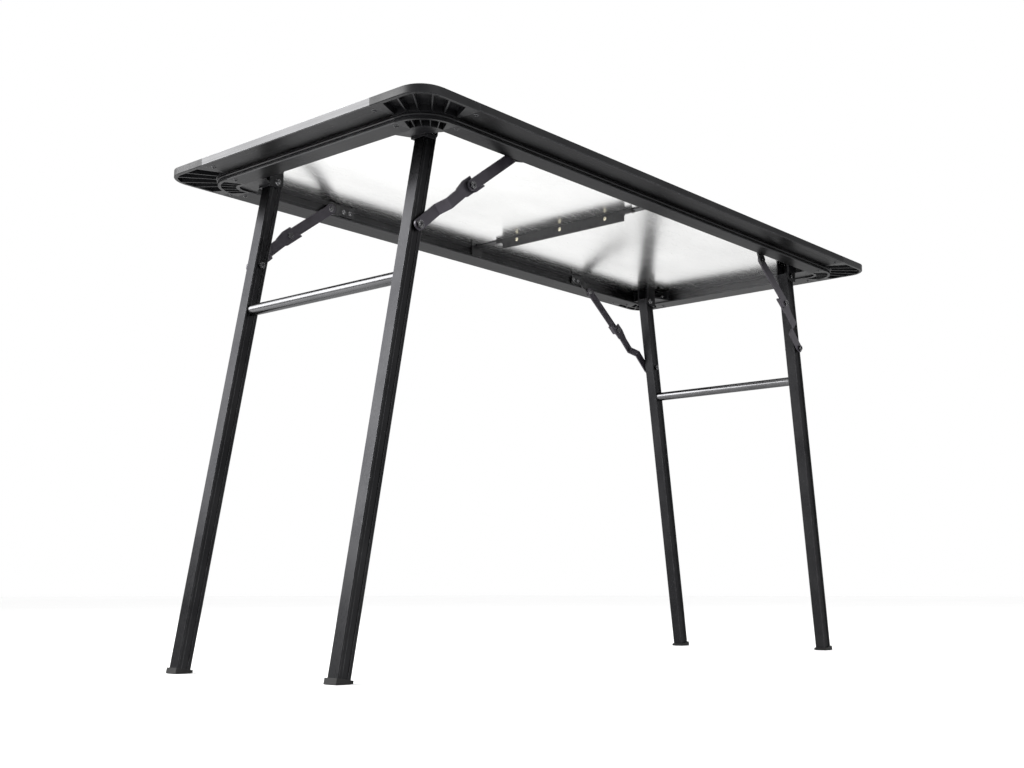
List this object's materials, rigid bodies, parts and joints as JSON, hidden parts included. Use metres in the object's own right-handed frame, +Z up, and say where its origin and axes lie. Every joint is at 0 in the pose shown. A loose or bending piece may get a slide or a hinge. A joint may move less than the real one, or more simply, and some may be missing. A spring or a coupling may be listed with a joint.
{
  "type": "folding camp kitchen table",
  "caption": "Folding camp table: steel sheet top in a dark aluminium frame with moulded corners, on splayed leg frames held by folding braces.",
  "frame": {"origin": "on the ground, under the middle of the top", "axes": "+X along the length of the top, +Y across its width towards the back, +Z up"},
  "size_m": [1.1899, 0.573, 0.7425],
  "materials": {
    "stainless_sheet": "brushed sheet, bright on the underside",
    "frame_aluminium": "dark grey satin anodised extrusion",
    "black_plastic": "fine-grained black moulding",
    "dark_fasteners": "blackened screws with worn rims",
    "leg_aluminium": "black satin anodised extrusion",
    "foot_plastic": "hard black plastic cap",
    "crossbar_aluminium": "dark grey satin anodised tube",
    "brace_steel": "smooth dark grey powder coat",
    "dark_steel": "dark grey powder coat",
    "bright_fasteners": "bright zinc plate",
    "brass_rivets": "pale yellow passivated rivets"
  },
  "bodies": {
    "table_top": {"top_sheet": "stainless_sheet", "rail_front": "frame_aluminium", "rail_back": "frame_aluminium", "rail_left": "frame_aluminium", "rail_right": "frame_aluminium", "corner_left_front": "black_plastic", "corner_left_back": "black_plastic", "corner_right_front": "black_plastic", "corner_right_back": "black_plastic", "corner_screws": "dark_fasteners", "leg_bracket_left_front": "black_plastic", "leg_bracket_left_back": "black_plastic", "leg_bracket_right_front": "black_plastic", "leg_bracket_right_back": "black_plastic", "leg_bracket_screws": "bright_fasteners", "leg_pivot_bolts": "bright_fasteners", "rail_bracket_left_front": "dark_steel", "rail_bracket_left_back": "dark_steel", "rail_bracket_right_front": "dark_steel", "rail_bracket_right_back": "dark_steel", "rail_bracket_screws": "bright_fasteners", "brace_rail_pins": "bright_fasteners", "crossmember_angle": "dark_steel", "crossmember_plate": "dark_steel", "crossmember_rivets": "brass_rivets", "crossmember_nuts": "bright_fasteners"},
    "leg_frame_left": {"leg_left_front": "leg_aluminium", "leg_left_back": "leg_aluminium", "crossbar_left": "crossbar_aluminium", "foot_left_front": "foot_plastic", "foot_left_back": "foot_plastic", "brace_nuts_left": "bright_fasteners"},
    "upper_link_left_front": {"brace_upper_left_front": "brace_steel", "brace_rivet_left_front": "bright_fasteners", "brace_washer_left_front": "black_plastic"},
    "lower_link_left_front": {"brace_lower_left_front": "brace_steel", "brace_bolt_left_front": "bright_fasteners"},
    "upper_link_left_back": {"brace_upper_left_back": "brace_steel", "brace_rivet_left_back": "bright_fasteners", "brace_washer_left_back": "black_plastic"},
    "lower_link_left_back": {"brace_lower_left_back": "brace_steel", "brace_bolt_left_back": "bright_fasteners"},
    "leg_frame_right": {"leg_right_front": "leg_aluminium", "leg_right_back": "leg_aluminium", "crossbar_right": "crossbar_aluminium", "foot_right_front": "foot_plastic", "foot_right_back": "foot_plastic", "brace_nuts_right": "bright_fasteners"},
    "upper_link_right_front": {"brace_upper_right_front": "brace_steel", "brace_rivet_right_front": "bright_fasteners", "brace_washer_right_front": "black_plastic"},
    "lower_link_right_front": {"brace_lower_right_front": "brace_steel", "brace_bolt_right_front": "bright_fasteners"},
    "upper_link_right_back": {"brace_upper_right_back": "brace_steel", "brace_rivet_right_back": "bright_fasteners", "brace_washer_right_back": "black_plastic"},
    "lower_link_right_back": {"brace_lower_right_back": "brace_steel", "brace_bolt_right_back": "bright_fasteners"}
  },
  "joints": [
    {"name": "fold_left", "type": "hinge", "parent": "table_top", "child": "leg_frame_left", "pos_m": [-0.467, 0, 0.728], "axis": [0, -1, 0], "range_deg": [0, 99.3]},
    {"name": "brace_top_left_front", "type": "hinge", "parent": "table_top", "child": "upper_link_left_front", "pos_m": [-0.331, -0.20485, 0.728], "axis": [0, -1, 0], "range_deg": [0, 141.55]},
    {"name": "brace_knee_left_front", "type": "hinge", "parent": "upper_link_left_front", "child": "lower_link_left_front", "pos_m": [-0.41232, -0.20005, 0.66357], "axis": [0, -1, 0], "range_deg": [-183.79, 0]},
    {"name": "brace_top_left_back", "type": "hinge", "parent": "table_top", "child": "upper_link_left_back", "pos_m": [-0.331, 0.20485, 0.728], "axis": [0, -1, 0], "range_deg": [0, 141.55]},
    {"name": "brace_knee_left_back", "type": "hinge", "parent": "upper_link_left_back", "child": "lower_link_left_back", "pos_m": [-0.41232, 0.20005, 0.66357], "axis": [0, -1, 0], "range_deg": [-183.79, 0]},
    {"name": "fold_right", "type": "hinge", "parent": "table_top", "child": "leg_frame_right", "pos_m": [0.455, 0, 0.713], "axis": [0, 1, 0], "range_deg": [0, 96.3]},
    {"name": "brace_top_right_front", "type": "hinge", "parent": "table_top", "child": "upper_link_right_front", "pos_m": [0.316, -0.20485, 0.713], "axis": [0, 1, 0], "range_deg": [0, 137.84]},
    {"name": "brace_knee_right_front", "type": "hinge", "parent": "upper_link_right_front", "child": "lower_link_right_front", "pos_m": [0.39943, -0.20005, 0.64716], "axis": [0, 1, 0], "range_deg": [-179.37, 0]},
    {"name": "brace_top_right_back", "type": "hinge", "parent": "table_top", "child": "upper_link_right_back", "pos_m": [0.316, 0.20485, 0.713], "axis": [0, 1, 0], "range_deg": [0, 137.84]},
    {"name": "brace_knee_right_back", "type": "hinge", "parent": "upper_link_right_back", "child": "lower_link_right_back", "pos_m": [0.39943, 0.20005, 0.64716], "axis": [0, 1, 0], "range_deg": [-179.37, 0]}
  ],
  "couplings": [
    {"joint": "brace_top_left_front", "follows": "fold_left", "ratio": 1.4254},
    {"joint": "brace_knee_left_front", "follows": "fold_left", "ratio": -1.8508},
    {"joint": "brace_top_left_back", "follows": "fold_left", "ratio": 1.4254},
    {"joint": "brace_knee_left_back", "follows": "fold_left", "ratio": -1.8508},
    {"joint": "brace_top_right_front", "follows": "fold_right", "ratio": 1.4313},
    {"joint": "brace_knee_right_front", "follows": "fold_right", "ratio": -1.8626},
    {"joint": "brace_top_right_back", "follows": "fold_right", "ratio": 1.4313},
    {"joint": "brace_knee_right_back", "follows": "fold_right", "ratio": -1.8626}
  ]
}
